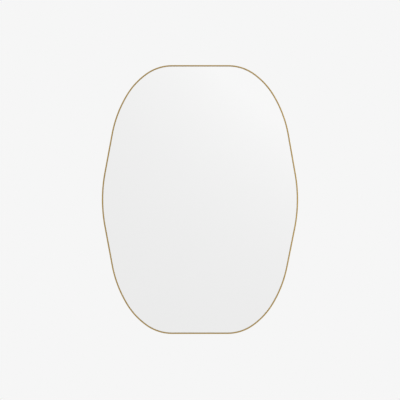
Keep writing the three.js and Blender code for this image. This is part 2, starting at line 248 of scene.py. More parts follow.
class Effects:
    """The shader groups that more than one finish uses, each built once."""

    def __init__(self) -> None:
        """Builds the groups."""
        self.grain = self._grain()
        self.dust = self._dust()
        self.mottle = self._mottle()
        self.wear = self._wear()

    @staticmethod
    def _grain() -> bpy.types.NodeTree:
        """Fine lines along the first two axes of a vector.

        Returns:
            The group: it puts out the lines from 0 to 1, and a height for a bump.
        """
        takes = {"Vector": VECTOR, "Lines": 3000.0, "Length": 0.02, "Contrast": 0.5}
        group = Group(Kind.SHADER, "Brushed grain", takes, {"Lines": FLOAT, "Height": FLOAT})
        along = group.math("DIVIDE", 1.0, group.given["Length"])
        place = group.times(group.given["Vector"], group.combine(along, along, group.given["Lines"]))
        coarse = group.noise(place, scale=0.35, detail=3.0, roughness=0.6)
        fine = group.noise(place, scale=1.0, detail=2.0, roughness=0.7)
        both = group.weigh(coarse, fine, shares=(0.6, 0.4))
        around = group.math("MULTIPLY", group.math("SUBTRACT", both, 0.5), group.given["Contrast"])
        return group.give(Lines=group.math("ADD", around, 0.5, clamp=True), Height=both)

    @staticmethod
    def _dust() -> bpy.types.NodeTree:
        """Patches of settled dust and specks in them, thicker where a face looks up.

        Returns:
            The group: it puts out a mask from 0 to 1.
        """
        specks_per_patch = 25.0
        takes = {"Vector": VECTOR, "Normal": VECTOR, "Patches": 60.0, "Amount": 0.3}
        group = Group(Kind.SHADER, "Settled dust", takes, {"Mask": FLOAT})
        where, patches = group.given["Vector"], group.given["Patches"]
        upward = group.parts(group.given["Normal"])["Z"]
        lying = group.spread(upward, low=-0.2, high=1.0, start=0.25, end=1.0)
        film = group.spread(group.noise(where, patches, detail=4.0, roughness=0.6), low=0.38, high=0.72)
        specks = group.noise(where, group.math("MULTIPLY", patches, specks_per_patch), detail=1.0)
        cover = group.weigh(film, group.spread(specks, low=0.6, high=0.72), shares=(0.7, 0.5))
        lain = group.math("MULTIPLY", cover, lying)
        return group.give(Mask=group.math("MULTIPLY", lain, group.given["Amount"], clamp=True))

    @staticmethod
    def _mottle() -> bpy.types.NodeTree:
        """Two colours that run into each other in patches of two sizes.

        Returns:
            The group: it puts out the colour and the patches from 0 to 1.
        """
        takes = {
            "Vector": VECTOR,
            "Patches": 40.0,
            "Flecks": 800.0,
            "Light": (0.8, 0.8, 0.8, 1.0),
            "Dark": (0.5, 0.5, 0.5, 1.0),
        }
        group = Group(Kind.SHADER, "Mottle", takes, {"Color": COLOUR, "Value": FLOAT})
        broad = group.noise(group.given["Vector"], group.given["Patches"], detail=3.0, roughness=0.55)
        fine = group.noise(group.given["Vector"], group.given["Flecks"], detail=2.0, roughness=0.6)
        value = group.spread(group.weigh(broad, fine, shares=(0.6, 0.4)), low=0.32, high=0.68)
        return group.give(Color=group.blend(value, group.given["Dark"], group.given["Light"]), Value=value)

    @staticmethod
    def _wear() -> bpy.types.NodeTree:
        """Rubbed edges, broken up by a noise.

        Returns:
            The group: it puts out a mask from 0 to 1.
        """
        takes = {"Vector": VECTOR, "Edge": 0.0, "Breaks": 120.0, "Amount": 0.6}
        group = Group(Kind.SHADER, "Edge wear", takes, {"Mask": FLOAT})
        breaks = group.noise(group.given["Vector"], group.given["Breaks"], detail=3.0, roughness=0.6)
        rubbed = group.math("MULTIPLY", group.given["Edge"], group.spread(breaks, low=0.35, high=0.6))
        return group.give(Mask=group.math("MULTIPLY", rubbed, group.given["Amount"], clamp=True))


class Surface(Tree):
    """The node tree of one material, with the shader that it ends in."""

    def __init__(self, name: str) -> None:
        """Makes a material with one Principled shader.

        Args:
            name: The material's name.
        """
        self.material = bpy.data.materials.new(name)
        self.material.use_nodes = True
        self.material.node_tree.nodes.clear()
        super().__init__(self.material.node_tree)
        self.shader = self.add("ShaderNodeBsdfPrincipled")
        self.output = self.add("ShaderNodeOutputMaterial", {"Surface": self.shader.outputs[0]})

    def where(self) -> Socket:
        """The place on the object, in metres."""
        return self.add("ShaderNodeTexCoord").outputs["Object"]

    def attribute(self, name: str) -> Any:
        """The outputs of a value that the mesh carries under a name."""
        return self.add("ShaderNodeAttribute", attribute_name=name).outputs

    def effect(self, tree: bpy.types.NodeTree, **feeds: Any) -> Any:
        """Places a shared effect, which reads the place on the object unless it is given another Vector.

        Args:
            tree: The effect's group.
            **feeds: Its inputs.

        Returns:
            Its outputs.
        """
        if "Vector" not in feeds:
            feeds["Vector"] = self.where()
        return self.add("ShaderNodeGroup", feeds, node_tree=tree).outputs

    def dust(self, effects: Effects, patches: float, amount: float) -> Socket:
        """The mask of the dust that has settled on the surface."""
        facing = self.add("ShaderNodeNewGeometry").outputs["Normal"]
        return self.effect(effects.dust, Normal=facing, Patches=patches, Amount=amount)["Mask"]

    def bump(self, height: Any, depth: float) -> None:
        """Raises the surface by a height from 0 to 1, which stands for a depth in metres."""
        self.dress(Normal=self.add("ShaderNodeBump", {"Height": height, "Distance": depth}).outputs["Normal"])

    def dress(self, **feeds: Any) -> None:
        """Feeds inputs of the shader, named with _ for a space."""
        for name, value in feeds.items():
            self.feed(self.shader.inputs[name.replace("_", " ")], value)


# ---------------------------------------------------------------- finishes


def rgba(colour: Point) -> tuple[float, float, float, float]:
    """A colour with full alpha."""
    return (*colour, 1.0)


@dataclass(frozen=True)
class BrushedBrass:
    """Lacquered brass, brushed along the bar, with its edges a little rubbed."""

    light: Point = (0.468, 0.327, 0.119)
    deep: Point = (0.342, 0.230, 0.065)
    rubbed: Point = (0.505, 0.380, 0.180)
    lines: float = 4200.0
    length: float = 0.045
    contrast: float = 2.6
    tones: float = 3.0
    grain_and_tone: Pair = (0.8, 0.2)
    grain_range: Pair = (0.2, 0.8)
    wear: float = 0.9
    rough: Pair = (0.27, 0.4)
    relief: float = 0.012 * MM

    def material(self, effects: Effects) -> bpy.types.Material:
        """Builds the material.

        Args:
            effects: The shared effects.

        Returns:
            The material.
        """
        surface = Surface("brushed_brass")
        grain = surface.effect(effects.grain, Vector=surface.attribute("grain")["Vector"], Lines=self.lines,
                               Length=self.length, Contrast=self.contrast)
        tone = surface.noise(surface.where(), self.tones, detail=1.0)
        mixed = surface.weigh(grain["Lines"], tone, self.grain_and_tone, clamp=True)
        colour = surface.blend(mixed, rgba(self.deep), rgba(self.light))
        wear = surface.effect(effects.wear, Edge=surface.attribute("edge")["Fac"], Amount=self.wear)
        surface.dress(
            Base_Color=surface.blend(wear["Mask"], colour, rgba(self.rubbed)),
            Metallic=1.0,
            Roughness=surface.spread(grain["Lines"], *self.grain_range, *self.rough),
        )
        surface.bump(grain["Height"], self.relief)
        return surface.material


@dataclass(frozen=True)
class SilveredGlass:
    """The silvering seen through polished glass, with the faintest film of handling."""

    colour: Point = (0.932, 0.932, 0.931)
    veil: Point = (0.915, 0.917, 0.916)
    patches: float = 9.0
    amount: float = 0.5
    rough: Pair = (0.012, 0.05)
    polish: float = 0.01
    glass_ior: float = 1.5

    def material(self, effects: Effects) -> bpy.types.Material:
        """Builds the material.

        Args:
            effects: The shared effects.

        Returns:
            The material.
        """
        surface = Surface("silvered_glass")
        film = surface.dust(effects, self.patches, self.amount)
        surface.dress(
            Base_Color=surface.blend(film, rgba(self.colour), rgba(self.veil)),
            Metallic=1.0,
            Roughness=surface.spread(film, 0.0, 1.0, *self.rough),
            Coat_Weight=1.0,
            Coat_Roughness=self.polish,
            Coat_IOR=self.glass_ior,
        )
        return surface.material


@dataclass(frozen=True)
class Mottled:
    """A finish of two colours that run into each other, its roughness and relief with them."""

    name: str
    light: Point
    deep: Point
    patches: float
    flecks: float
    rough: Pair
    relief: float
    metallic: float = 0.0
    ior: float = 1.5

    def colour(self, surface: Surface, effects: Effects, mottled: Socket) -> Socket:
        """The colour that shows: here the mottled one as it is."""
        return mottled

    def texture(self, surface: Surface, value: Socket) -> tuple[Socket, Socket]:
        """What the roughness and the relief follow: here the patches."""
        return value, value

    def material(self, effects: Effects) -> bpy.types.Material:
        """Builds the material.

        Args:
            effects: The shared effects.

        Returns:
            The material.
        """
        surface = Surface(self.name)
        mottle = surface.effect(effects.mottle, Patches=self.patches, Flecks=self.flecks,
                                Light=rgba(self.light), Dark=rgba(self.deep))
        sheen, height = self.texture(surface, mottle["Value"])
        surface.dress(
            Base_Color=self.colour(surface, effects, mottle["Color"]),
            Metallic=self.metallic,
            Roughness=surface.spread(sheen, 0.0, 1.0, *self.rough),
            IOR=self.ior,
        )
        surface.bump(height, self.relief)
        return surface.material


@dataclass(frozen=True)
class GlassEdge(Mottled):
    """The ground and polished edge of the glass, green in its depth."""

    name: str = "glass_edge"
    light: Point = (0.50, 0.62, 0.56)
    deep: Point = (0.24, 0.38, 0.32)
    patches: float = 90.0
    flecks: float = 2500.0
    rough: Pair = (0.12, 0.3)
    relief: float = 0.006 * MM
    ior: float = 1.52


@dataclass(frozen=True)
class BackPaint(Mottled):
    """The grey paint that protects the silvering from behind."""

    name: str = "back_paint"
    light: Point = (0.160, 0.168, 0.172)
    deep: Point = (0.105, 0.112, 0.118)
    patches: float = 30.0
    flecks: float = 1500.0
    rough: Pair = (0.45, 0.6)
    relief: float = 0.01 * MM


@dataclass(frozen=True)
class SafetyFilm(Mottled):
    """White backing film with a fine weave of threads in it."""

    name: str = "safety_film"
    light: Point = (0.56, 0.58, 0.60)
    deep: Point = (0.42, 0.44, 0.46)
    patches: float = 12.0
    flecks: float = 900.0
    rough: Pair = (0.42, 0.58)
    relief: float = 0.02 * MM
    wave_scale: float = 70.0

    def texture(self, surface: Surface, value: Socket) -> tuple[Socket, Socket]:
        """What the roughness and the relief follow: here the weave.

        Args:
            surface: The material's tree.
            value: The patches; not used.

        Returns:
            The weave, twice.
        """
        bands = [
            surface.add("ShaderNodeTexWave", {"Vector": surface.where(), "Scale": self.wave_scale},
                        bands_direction=axis).outputs["Fac"]
            for axis in ("X", "Z")
        ]
        weave = surface.math("MAXIMUM", *bands)
        return weave, weave


@dataclass(frozen=True)
class Foam(Mottled):
    """Closed-cell tape foam, off-white, with open cells at its cut edges."""

    name: str = "tape_foam"
    light: Point = (0.82, 0.81, 0.77)
    deep: Point = (0.62, 0.60, 0.55)
    patches: float = 60.0
    flecks: float = 1800.0
    rough: Pair = (0.95, 0.85)
    relief: float = 0.12 * MM
    cells: float = 2200.0

    def texture(self, surface: Surface, value: Socket) -> tuple[Socket, Socket]:
        """What the roughness and the relief follow: the patches, and the cells."""
        cells = surface.add("ShaderNodeTexVoronoi", {"Vector": surface.where(), "Scale": self.cells})
        return value, cells.outputs["Distance"]


@dataclass(frozen=True)
class StainedBoard(Mottled):
    """Fibreboard under a thin black stain, rolled on, that the fibres show through."""

    name: str = "stained_board"
    light: Point = (0.062, 0.052, 0.042)
    deep: Point = (0.020, 0.018, 0.016)
    dust_colour: Point = (0.16, 0.15, 0.14)
    patches: float = 14.0
    flecks: float = 1300.0
    rough: Pair = (0.58, 0.8)
    relief: float = 0.06 * MM
    roller_lines: float = 260.0
    roller_length: float = 0.09
    roller_contrast: float = 1.2
    dust_patches: float = 22.0
    dust_amount: float = 0.45

    def colour(self, surface: Surface, effects: Effects, mottled: Socket) -> Socket:
        """The colour that shows: the stain thicker in streaks, and dust over it.

        Args:
            surface: The material's tree.
            effects: The shared effects.
            mottled: The two colours.

        Returns:
            The colour.
        """
        roller = surface.effect(effects.grain, Lines=self.roller_lines, Length=self.roller_length,
                                Contrast=self.roller_contrast)
        streaks = surface.spread(roller["Lines"], low=0.45, high=0.75, start=0.0, end=0.5)
        stained = surface.blend(streaks, mottled, rgba(self.deep))
        dust = surface.dust(effects, self.dust_patches, self.dust_amount)
        return surface.blend(dust, stained, rgba(self.dust_colour))


@dataclass(frozen=True)
class ZincPlate(Mottled):
    """Bright zinc plating with faint yellow passivation."""

    name: str = "zinc_plate"
    light: Point = (0.60, 0.61, 0.62)
    deep: Point = (0.36, 0.37, 0.38)
    passivated: Point = (0.52, 0.50, 0.40)
    patches: float = 260.0
    flecks: float = 2600.0
    rough: Pair = (0.4, 0.2)
    relief: float = 0.012 * MM
    metallic: float = 1.0
    stains: float = 130.0

    def colour(self, surface: Surface, effects: Effects, mottled: Socket) -> Socket:
        """The colour that shows: the passivation in patches over the plating.

        Args:
            surface: The material's tree.
            effects: The shared effects; not used.
            mottled: The two colours.

        Returns:
            The colour.
        """
        stain = surface.noise(surface.where(), self.stains)
        tint = surface.spread(stain, low=0.45, high=0.7, start=0.0, end=0.7)
        return surface.blend(tint, mottled, rgba(self.passivated))


@dataclass(frozen=True)
class BumperRubber(Mottled):
    """Moulded black rubber with a dusty bloom."""

    name: str = "bumper_rubber"
    light: Point = (0.050, 0.050, 0.050)
    deep: Point = (0.016, 0.016, 0.017)
    dust_colour: Point = (0.20, 0.19, 0.18)
    patches: float = 180.0
    flecks: float = 3200.0
    rough: Pair = (0.5, 0.72)
    relief: float = 0.03 * MM
    dust_patches: float = 240.0
    dust_amount: float = 0.4

    def colour(self, surface: Surface, effects: Effects, mottled: Socket) -> Socket:
        """The colour that shows: the rubber with dust over it."""
        dust = surface.dust(effects, self.dust_patches, self.dust_amount)
        return surface.blend(dust, mottled, rgba(self.dust_colour))


@dataclass(frozen=True)
class WeldMetal(Mottled):
    """A brazed bead, dulled and browned by its heat."""

    name: str = "weld_metal"
    light: Point = (0.56, 0.45, 0.26)
    deep: Point = (0.20, 0.13, 0.07)
    patches: float = 420.0
    flecks: float = 2200.0
    rough: Pair = (0.6, 0.34)
    relief: float = 0.06 * MM
    metallic: float = 1.0


class Finishes:
    """Every finish of the mirror, made once."""

    def __init__(self) -> None:
        """Makes the materials."""
        effects = Effects()
        self.brass = BrushedBrass().material(effects)
        self.silver = SilveredGlass().material(effects)
        self.glass_edge = GlassEdge().material(effects)
        self.back_paint = BackPaint().material(effects)
        self.film = SafetyFilm().material(effects)
        self.foam = Foam().material(effects)
        self.board = StainedBoard().material(effects)
        self.zinc = ZincPlate().material(effects)
        self.rubber = BumperRubber().material(effects)
        self.weld = WeldMetal().material(effects)


# ---------------------------------------------------------------- shape helpers


class Station(NamedTuple):
    """A point of a path on the XZ plane, with its outward normal."""

    x: float
    z: float
    nx: float
    nz: float


class Seat(NamedTuple):
    """Where a repeated piece sits on the panel: its place and its turn about Y."""

    x: float
    z: float
    turn: float = 0.0


class Move(NamedTuple):
    """A straight, or a right-hand arc with its turn in degrees."""

    length: float = 0.0
    radius: float = 0.0
    turn: float = 0.0


def walk(x: float, z: float, moves: list[Move]) -> list[Station]:
    """Walks a path clockwise from a point, heading +X.

    Args:
        x: Where it starts.
        z: Where it starts.
        moves: Its straights and arcs.

    Returns:
        The stations, the start left out.
    """
    stations: list[Station] = []
    heading = 0.0
    for move in moves:
        if move.turn > 0:
            turn = math.radians(move.turn)
            steps = max(1, math.ceil(turn / (2 * math.acos(1 - min(CHORD_ERROR / move.radius, 1)))))
            for _ in range(steps):
                after = heading + turn / steps
                x += move.radius * (math.sin(after) - math.sin(heading))
                z += move.radius * (math.cos(after) - math.cos(heading))
                heading = after
                stations.append(Station(x, z, math.sin(heading), math.cos(heading)))
        elif move.length > 0:
            x += move.length * math.cos(heading)
            z -= move.length * math.sin(heading)
            stations.append(Station(x, z, math.sin(heading), math.cos(heading)))
    return stations


def mesh_object(name: str, points: list[Point], faces: list[Face],
                edges: list[tuple[int, int]] | None = None) -> Piece:
    """Makes an object from points and faces, and links it.

    Args:
        name: The object's name.
        points: Its points.
        faces: Its faces, each a run of indices.
        edges: Its edges, for a path.

    Returns:
        The object.
    """
    mesh = bpy.data.meshes.new(name)
    mesh.from_pydata(points, edges or [], faces)
    mesh.validate()
    piece = bpy.data.objects.new(name, mesh)
    bpy.context.scene.collection.objects.link(piece)
    return piece


def closed_path(name: str, points: list[Point]) -> Piece:
    """Makes a closed path through points, for a tree to follow."""
    return mesh_object(name, points, [], [(i, (i + 1) % len(points)) for i in range(len(points))])


def tube_faces(first: int, rows: int, sides: int) -> list[Face]:
    """The faces of a closed tube whose points lie row by row.

    Args:
        first: The index of its first point.
        rows: How many rows it has.
        sides: How many points a row has.

    Returns:
        The two end faces, and then the sides.
    """
    last = first + (rows - 1) * sides
    faces = [tuple(range(first, first + sides)), tuple(range(last, last + sides))]
    for row in range(first, last, sides):
        for i in range(sides):
            a, b = row + i, row + (i + 1) % sides
            faces.append((a, b, b + sides, a + sides))
    return faces


def face_out(piece: Piece) -> Piece:
    """Merges a mesh's doubles and turns its faces outwards.

    Args:
        piece: The piece.

    Returns:
        The same piece.
    """
    shell = bmesh.new()
    shell.from_mesh(piece.data)
    bmesh.ops.remove_doubles(shell, verts=shell.verts, dist=MERGE_DISTANCE)
    bmesh.ops.recalc_face_normals(shell, faces=shell.faces)
    shell.to_mesh(piece.data)
    shell.free()
    return piece


def settle(piece: Piece, smooth: bool = True) -> Piece:
    """Turns a piece and its live modifiers into a plain mesh with even shading.

    Args:
        piece: The piece; its modifiers go.
        smooth: Whether its faces are shaded smooth and weighted by their area.

    Returns:
        The same piece, with the plain mesh.
    """
    if smooth:
        weighted = piece.modifiers.new("even_shading", "WEIGHTED_NORMAL")
        weighted.keep_sharp = True
    bpy.context.view_layer.update()
    graph = bpy.context.evaluated_depsgraph_get()
    plain = bpy.data.meshes.new_from_object(
        piece.evaluated_get(graph), preserve_all_data_layers=True, depsgraph=graph)
    piece.modifiers.clear()
    piece.data = plain
    plain.name = piece.name
    return piece


def discard(*pieces: Piece) -> None:
    """Removes helper objects that nothing needs any more."""
    for piece in pieces:
        bpy.data.objects.remove(piece)


def run_tree(piece: Piece, tree: bpy.types.NodeTree, values: dict[str, Any]) -> Piece:
    """Puts a geometry tree on a piece, sets its inputs and makes the result a plain mesh.

    Args:
        piece: The object that the tree reads.
        tree: The tree.
        values: A value for each named input.

    Returns:
        The piece with its plain mesh.
    """
    modifier = piece.modifiers.new(tree.name, "NODES")
    modifier.node_group = tree
    sockets = {item.name: item.identifier for item in tree.interface.items_tree
               if item.item_type == "SOCKET" and item.in_out == "INPUT"}
    for name, value in values.items():
        modifier[sockets[name]] = value
    return settle(piece)


def lathe(name: str, profile: list[Pair], sides: int) -> Piece:
    """Turns a profile about the Y axis.

    Args:
        name: The object's name.
        profile: Radius and y of each point; a closed loop, or one that starts and ends on the axis.
        sides: How many sides the turned piece has.

    Returns:
        The object, its faces outwards.
    """
    rings: list[list[int]] = []
    points: list[Point] = []
    for radius, y in profile:
        if radius < ON_AXIS:
            rings.append([len(points)] * sides)
            points.append((0.0, y, 0.0))
            continue
        rings.append([len(points) + i for i in range(sides)])
        points += [(radius * math.cos(TURN * i / sides), y, radius * math.sin(TURN * i / sides))
                   for i in range(sides)]
    faces = []
    for near, far in zip(rings, rings[1:]):
        for i in range(sides):
            loop = (near[i], near[(i + 1) % sides], far[(i + 1) % sides], far[i])
            faces.append(tuple(dict.fromkeys(loop)))
    return face_out(mesh_object(name, points, faces))


def rounded(corners: list[Point], steps: int = 4) -> list[Pair]:
    """Rounds the corners of an open profile.

    Args:
        corners: Each corner's two coordinates and its radius, 0 for a sharp one.
        steps: The facets of a rounding.

    Returns:
        The profile's points.
    """
    points: list[Pair] = []
    for i, (x, y, radius) in enumerate(corners):
        if radius <= 0 or i in (0, len(corners) - 1):
            points.append((x, y))
            continue
        here = Vector((x, y))
        back = (Vector(corners[i - 1][:2]) - here).normalized()
        on = (Vector(corners[i + 1][:2]) - here).normalized()
        half = back.angle(on) / 2
        start, end = here + back * radius / math.tan(half), here + on * radius / math.tan(half)
        centre = here + (back + on).normalized() * radius / math.sin(half)
        for step in range(steps + 1):
            arm = (start - centre).slerp(end - centre, step / steps)
            points.append(tuple(centre + arm.normalized() * radius))
    return points


def drill(depth: float, z: float) -> Piece:
    """A round tool that cuts a screw's hole along Y, from just before y = 0.

    Args:
        depth: How far past y = 0 it goes.
        z: Where the hole is.

    Returns:
        The tool.
    """
    profile = [(0.0, -MM), (SCREW_HOLE_RADIUS, -MM), (SCREW_HOLE_RADIUS, depth), (0.0, depth)]
    tool = lathe("drill", profile, DRILL_SIDES)
    tool.data.transform(Matrix.Translation((0.0, 0.0, z)))
    return tool


def pierce(piece: Piece, tools: list[Piece]) -> Piece:
    """Cuts tools out of a piece and discards them.

    Args:
        piece: The piece.
        tools: Closed shapes.

    Returns:
        The piece, still without its finish.
    """
    for tool in tools:
        cut = piece.modifiers.new("cut", "BOOLEAN")
        cut.operation = "DIFFERENCE"
        cut.solver = "EXACT"
        cut.object = tool
    settle(piece, smooth=False)
    discard(*tools)
    return piece


def soften(piece: Piece, width: float) -> Piece:
    """Rounds a piece's sharp edges.

    Args:
        piece: The piece.
        width: How wide the rounding is.

    Returns:
        The same piece.
    """
    bevel = piece.modifiers.new("soften", "BEVEL")
    bevel.width = width
    bevel.segments = 2
    bevel.limit_method = "ANGLE"
    bevel.angle_limit = HARD_CORNER
    return settle(piece, smooth=False)


# ---------------------------------------------------------------- geometry trees


class ShapeTree(Group):
    """A geometry tree that takes a finish, and ends in real copies that wear it."""

    def __init__(self, name: str, takes: dict[str, Any], makes: str) -> None:
        """Makes the tree with its named inputs.

        Args:
            name: The tree's name.
            takes: Each input's value, or its type; the finish comes last.
            makes: What the tree puts out.
        """
        super().__init__(Kind.SHAPE, name, {**takes, "Finish": MATERIAL}, {makes: GEOMETRY})

    def move(self, geometry: Socket, offset: Socket, turn: Point = (0.0, 0.0, 0.0)) -> Socket:
        """Turns a geometry about the origin and then moves it."""
        feeds = {"Geometry": geometry, "Translation": offset, "Rotation": turn}
        return self.add("GeometryNodeTransform", feeds).outputs[0]

    def store(self, geometry: Socket, name: str, value: Socket, data_type: str = "FLOAT") -> Socket:
        """Stores a value on each point of a geometry under a name."""
        feeds = {"Geometry": geometry, "Name": name, "Value": value}
        return self.add("GeometryNodeStoreNamedAttribute", feeds, data_type=data_type).outputs[0]

    def stored(self, name: str, data_type: str = "FLOAT") -> Socket:
        """Reads a value that the geometry carries under a name."""
        return self.add("GeometryNodeInputNamedAttribute", {"Name": name}, data_type=data_type).outputs[0]

    def sweep(self, path: Socket, section: Socket) -> Socket:
        """Sweeps a section along a path."""
        return self.add("GeometryNodeCurveToMesh", {"Curve": path, "Profile Curve": section}).outputs[0]

    def end(self, geometry: Socket) -> bpy.types.NodeTree:
        """Ends the tree: smooth shading, real copies, and the finish.

        Args:
            geometry: What the tree made.

        Returns:
            The tree.
        """
        real = self.add("GeometryNodeRealizeInstances", {"Geometry": geometry}).outputs[0]
        smooth = self.add("GeometryNodeSetShadeSmooth", {"Geometry": real, "Shade Smooth": True}).outputs[0]
        feeds = {"Geometry": smooth, "Material": self.given["Finish"]}
        self.feed(self.ends[0], self.add("GeometryNodeSetMaterial", feeds).outputs[0])
        return self.tree


class Trees:
    """The geometry trees that the sub-assemblies use, each built once."""

    def __init__(self) -> None:
        """Builds the trees."""
        self.bar = self._bar()
        self.wire = self._wire()
        self.set_out = self._set_out()

    @staticmethod
    def _bar() -> bpy.types.NodeTree:
        """A flat bar with rounded edges, swept round a closed path that lies on the XY plane.

        Returns:
            The tree. It stores the way of the grain and where the edges are.
        """
        past_face = 1e-6
        tree = ShapeTree("Bent bar", {
            "Path": GEOMETRY,
            "Bar thickness": BAR_THICKNESS,
            "Bar depth": 25 * MM,
            "Edge radius": 0.4 * MM,
            "Edge steps": 4,
            "Middle plane": 0.0,
        }, "Bar")
        curve = tree.add("GeometryNodeMeshToCurve", {"Mesh": tree.given["Path"]}).outputs[0]
        level = tree.add("GeometryNodeSetCurveNormal", {"Curve": curve}, mode="Z_UP").outputs[0]
        share = tree.add("GeometryNodeSplineParameter").outputs["Factor"]
        angle = tree.math("MULTIPLY", share, TURN)
        radius = tree.math("DIVIDE", tree.add("GeometryNodeCurveLength", {0: level}).outputs[0], TURN)
        turned = [tree.math(way, angle) for way in ("COSINE", "SINE")]
        ring = tree.combine(*(tree.math("MULTIPLY", part, radius) for part in turned))
        path = tree.store(level, "ring", ring, "FLOAT_VECTOR")

        thickness, depth = tree.given["Bar thickness"], tree.given["Bar depth"]
        box = tree.add("GeometryNodeCurvePrimitiveQuadrilateral", {"Width": thickness, "Height": depth})
        section = tree.add("GeometryNodeFilletCurve", {
            "Curve": box.outputs[0], "Count": tree.given["Edge steps"],
            "Radius": tree.given["Edge radius"], "Limit Radius": True,
        }, mode="POLY").outputs[0]
        place = tree.parts(tree.add("GeometryNodeInputPosition").outputs[0])
        section = tree.store(section, "across", tree.math("ADD", place["X"], place["Y"]))
        beyond = []
        for axis, whole in (("X", thickness), ("Y", depth)):
            flat = tree.math("SUBTRACT", tree.math("DIVIDE", whole, 2.0), tree.given["Edge radius"])
            limit = tree.math("ADD", flat, past_face)
            beyond.append(tree.math("GREATER_THAN", tree.math("ABSOLUTE", place[axis]), limit))
        section = tree.store(section, "edge", tree.math("MULTIPLY", *beyond))

        seated = tree.move(section, tree.combine(tree.math("DIVIDE", thickness, -2.0)))
        swept = tree.sweep(path, seated)
        round_bar = tree.parts(tree.stored("ring", "FLOAT_VECTOR"))
        grain = tree.combine(round_bar["X"], round_bar["Y"], tree.stored("across"))
        grained = tree.store(swept, "grain", grain, "FLOAT_VECTOR")
        upright = tree.move(grained, tree.combine(y=tree.given["Middle plane"]), (math.pi / 2, 0.0, 0.0))
        return tree.end(upright)

    @staticmethod
    def _wire() -> bpy.types.NodeTree:
        """A round wire that follows a closed path.

        Returns:
            The tree.
        """
        tree = ShapeTree("Bent wire", {"Path": GEOMETRY, "Wire radius": 1.5 * MM, "Wire sides": 20}, "Wire")
        curve = tree.add("GeometryNodeMeshToCurve", {"Mesh": tree.given["Path"]}).outputs[0]
        section = tree.add("GeometryNodeCurvePrimitiveCircle", {
            "Resolution": tree.given["Wire sides"], "Radius": tree.given["Wire radius"],
        }).outputs[0]
        return tree.end(tree.sweep(curve, section))

    @staticmethod
    def _set_out() -> bpy.types.NodeTree:
        """Sets a piece out on points, each turned about Y by the point's own "turn" and a random share.

        Returns:
            The tree.
        """
        takes = {"Seats": GEOMETRY, "Piece": OBJECT, "Random turn": 0.0, "Seed": 7}
        tree = ShapeTree("Set out on seats", takes, "Pieces")
        piece = tree.add("GeometryNodeObjectInfo", {"Object": tree.given["Piece"]}).outputs["Geometry"]
        random = tree.add("FunctionNodeRandomValue", {
            2: 0.0, 3: tree.given["Random turn"], "Seed": tree.given["Seed"],
        }, data_type="FLOAT").outputs[1]
        turned = tree.add("FunctionNodeAxisAngleToRotation", {
            "Axis": (0.0, 1.0, 0.0), "Angle": tree.math("ADD", tree.stored("turn"), random),
        }).outputs[0]
        return tree.end(tree.add("GeometryNodeInstanceOnPoints", {
            "Points": tree.given["Seats"], "Instance": piece, "Rotation": turned,
        }).outputs[0])


# ---------------------------------------------------------------- the mirror


@dataclass(frozen=True)
class Outline:
    """The frame's outer edge: two level crowns, four leaning sides, and arcs between them."""

    height: float = 838 * MM
    width: float = 612 * MM
    crown_radius: float = 138 * MM
    crown_turn: float = 35.0
    shoulder_radius: float = 221 * MM
    shoulder_turn: float = 23.5
    flank_radius: float = 364 * MM
    side_radius: float = 460 * MM
    lean_top_right: float = 10.0
    lean_bottom_right: float = 11.35
    lean_bottom_left: float = 10.55
    lean_top_left: float = 10.55

    def corner(self, lean: float) -> list[Move]:
        """The moves of one corner, from the crown to the apex at mid-height.

        Args:
            lean: How far the side leans from upright, in degrees.

        Returns:
            The moves.
        """
        arcs = [
            (self.crown_radius, self.crown_turn),
            (self.shoulder_radius, self.shoulder_turn),
            (self.flank_radius, 90 - lean - self.crown_turn - self.shoulder_turn),
        ]
        run = drop = heading = 0.0
        for radius, turn in arcs:
            after = heading + math.radians(turn)
            run += radius * (math.sin(after) - math.sin(heading))
            drop += radius * (math.cos(heading) - math.cos(after))
            heading = after
        slope = math.radians(lean)
        height = self.height / 2 - self.side_radius * math.sin(slope)
        width = self.width / 2 - self.side_radius * (1 - math.cos(slope)) - height * math.tan(slope)
        return [
            Move(length=width - (run - drop * math.tan(slope))),
            *(Move(radius=radius, turn=turn) for radius, turn in arcs),
            Move(length=(height - drop) / math.cos(slope)),
            Move(radius=self.side_radius, turn=lean),
        ]

    def stations(self) -> list[Station]:
        """The whole outline, clockwise from the top centre.

        Returns:
            Its stations.
        """
        return walk(0.0, self.height / 2, [
            *self.corner(self.lean_top_right),
            *reversed(self.corner(self.lean_bottom_right)),
            *self.corner(self.lean_bottom_left),
            *reversed(self.corner(self.lean_top_left)),
        ])

    def seat(self, share: float, inset: float) -> Seat:
        """A place a share of the way round, set in from the outline and turned with it.

        Args:
            share: The share of the way round, clockwise from the top centre.
            inset: How far in.

        Returns:
            The seat.
        """
        ring = self.stations()
        lengths = [math.dist(a[:2], b[:2]) for a, b in zip([ring[-1], *ring[:-1]], ring)]
        left = share * sum(lengths)
        i = 0
        while left > lengths[i]:
            left -= lengths[i]
            i += 1
        t = left / lengths[i]
        x, z, nx, nz = (a + (b - a) * t for a, b in zip(ring[i - 1], ring[i]))
        turn = math.atan2(nx, nz)
        return Seat(x - inset * math.sin(turn), z - inset * math.cos(turn), turn)

    def plate(self, name: str, section: list[Pair]) -> Piece:
        """A plate with the outline's shape.

        Args:
            name: The object's name.
            section: The inset and y of its edge's points, from front to back.

        Returns:
            The plate.
        """
        ring = self.stations()
        points = [(s.x - inset * s.nx, y, s.z - inset * s.nz) for inset, y in section for s in ring]
        return face_out(mesh_object(name, points, tube_faces(0, len(section), len(ring))))


def middles(nodes: list[str]) -> list[Seat]:
    """The seats in the middle of nodes."""
    boxes = [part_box(node) for node in nodes]
    return [Seat((low.x + high.x) / 2, (low.z + high.z) / 2) for low, high in boxes]


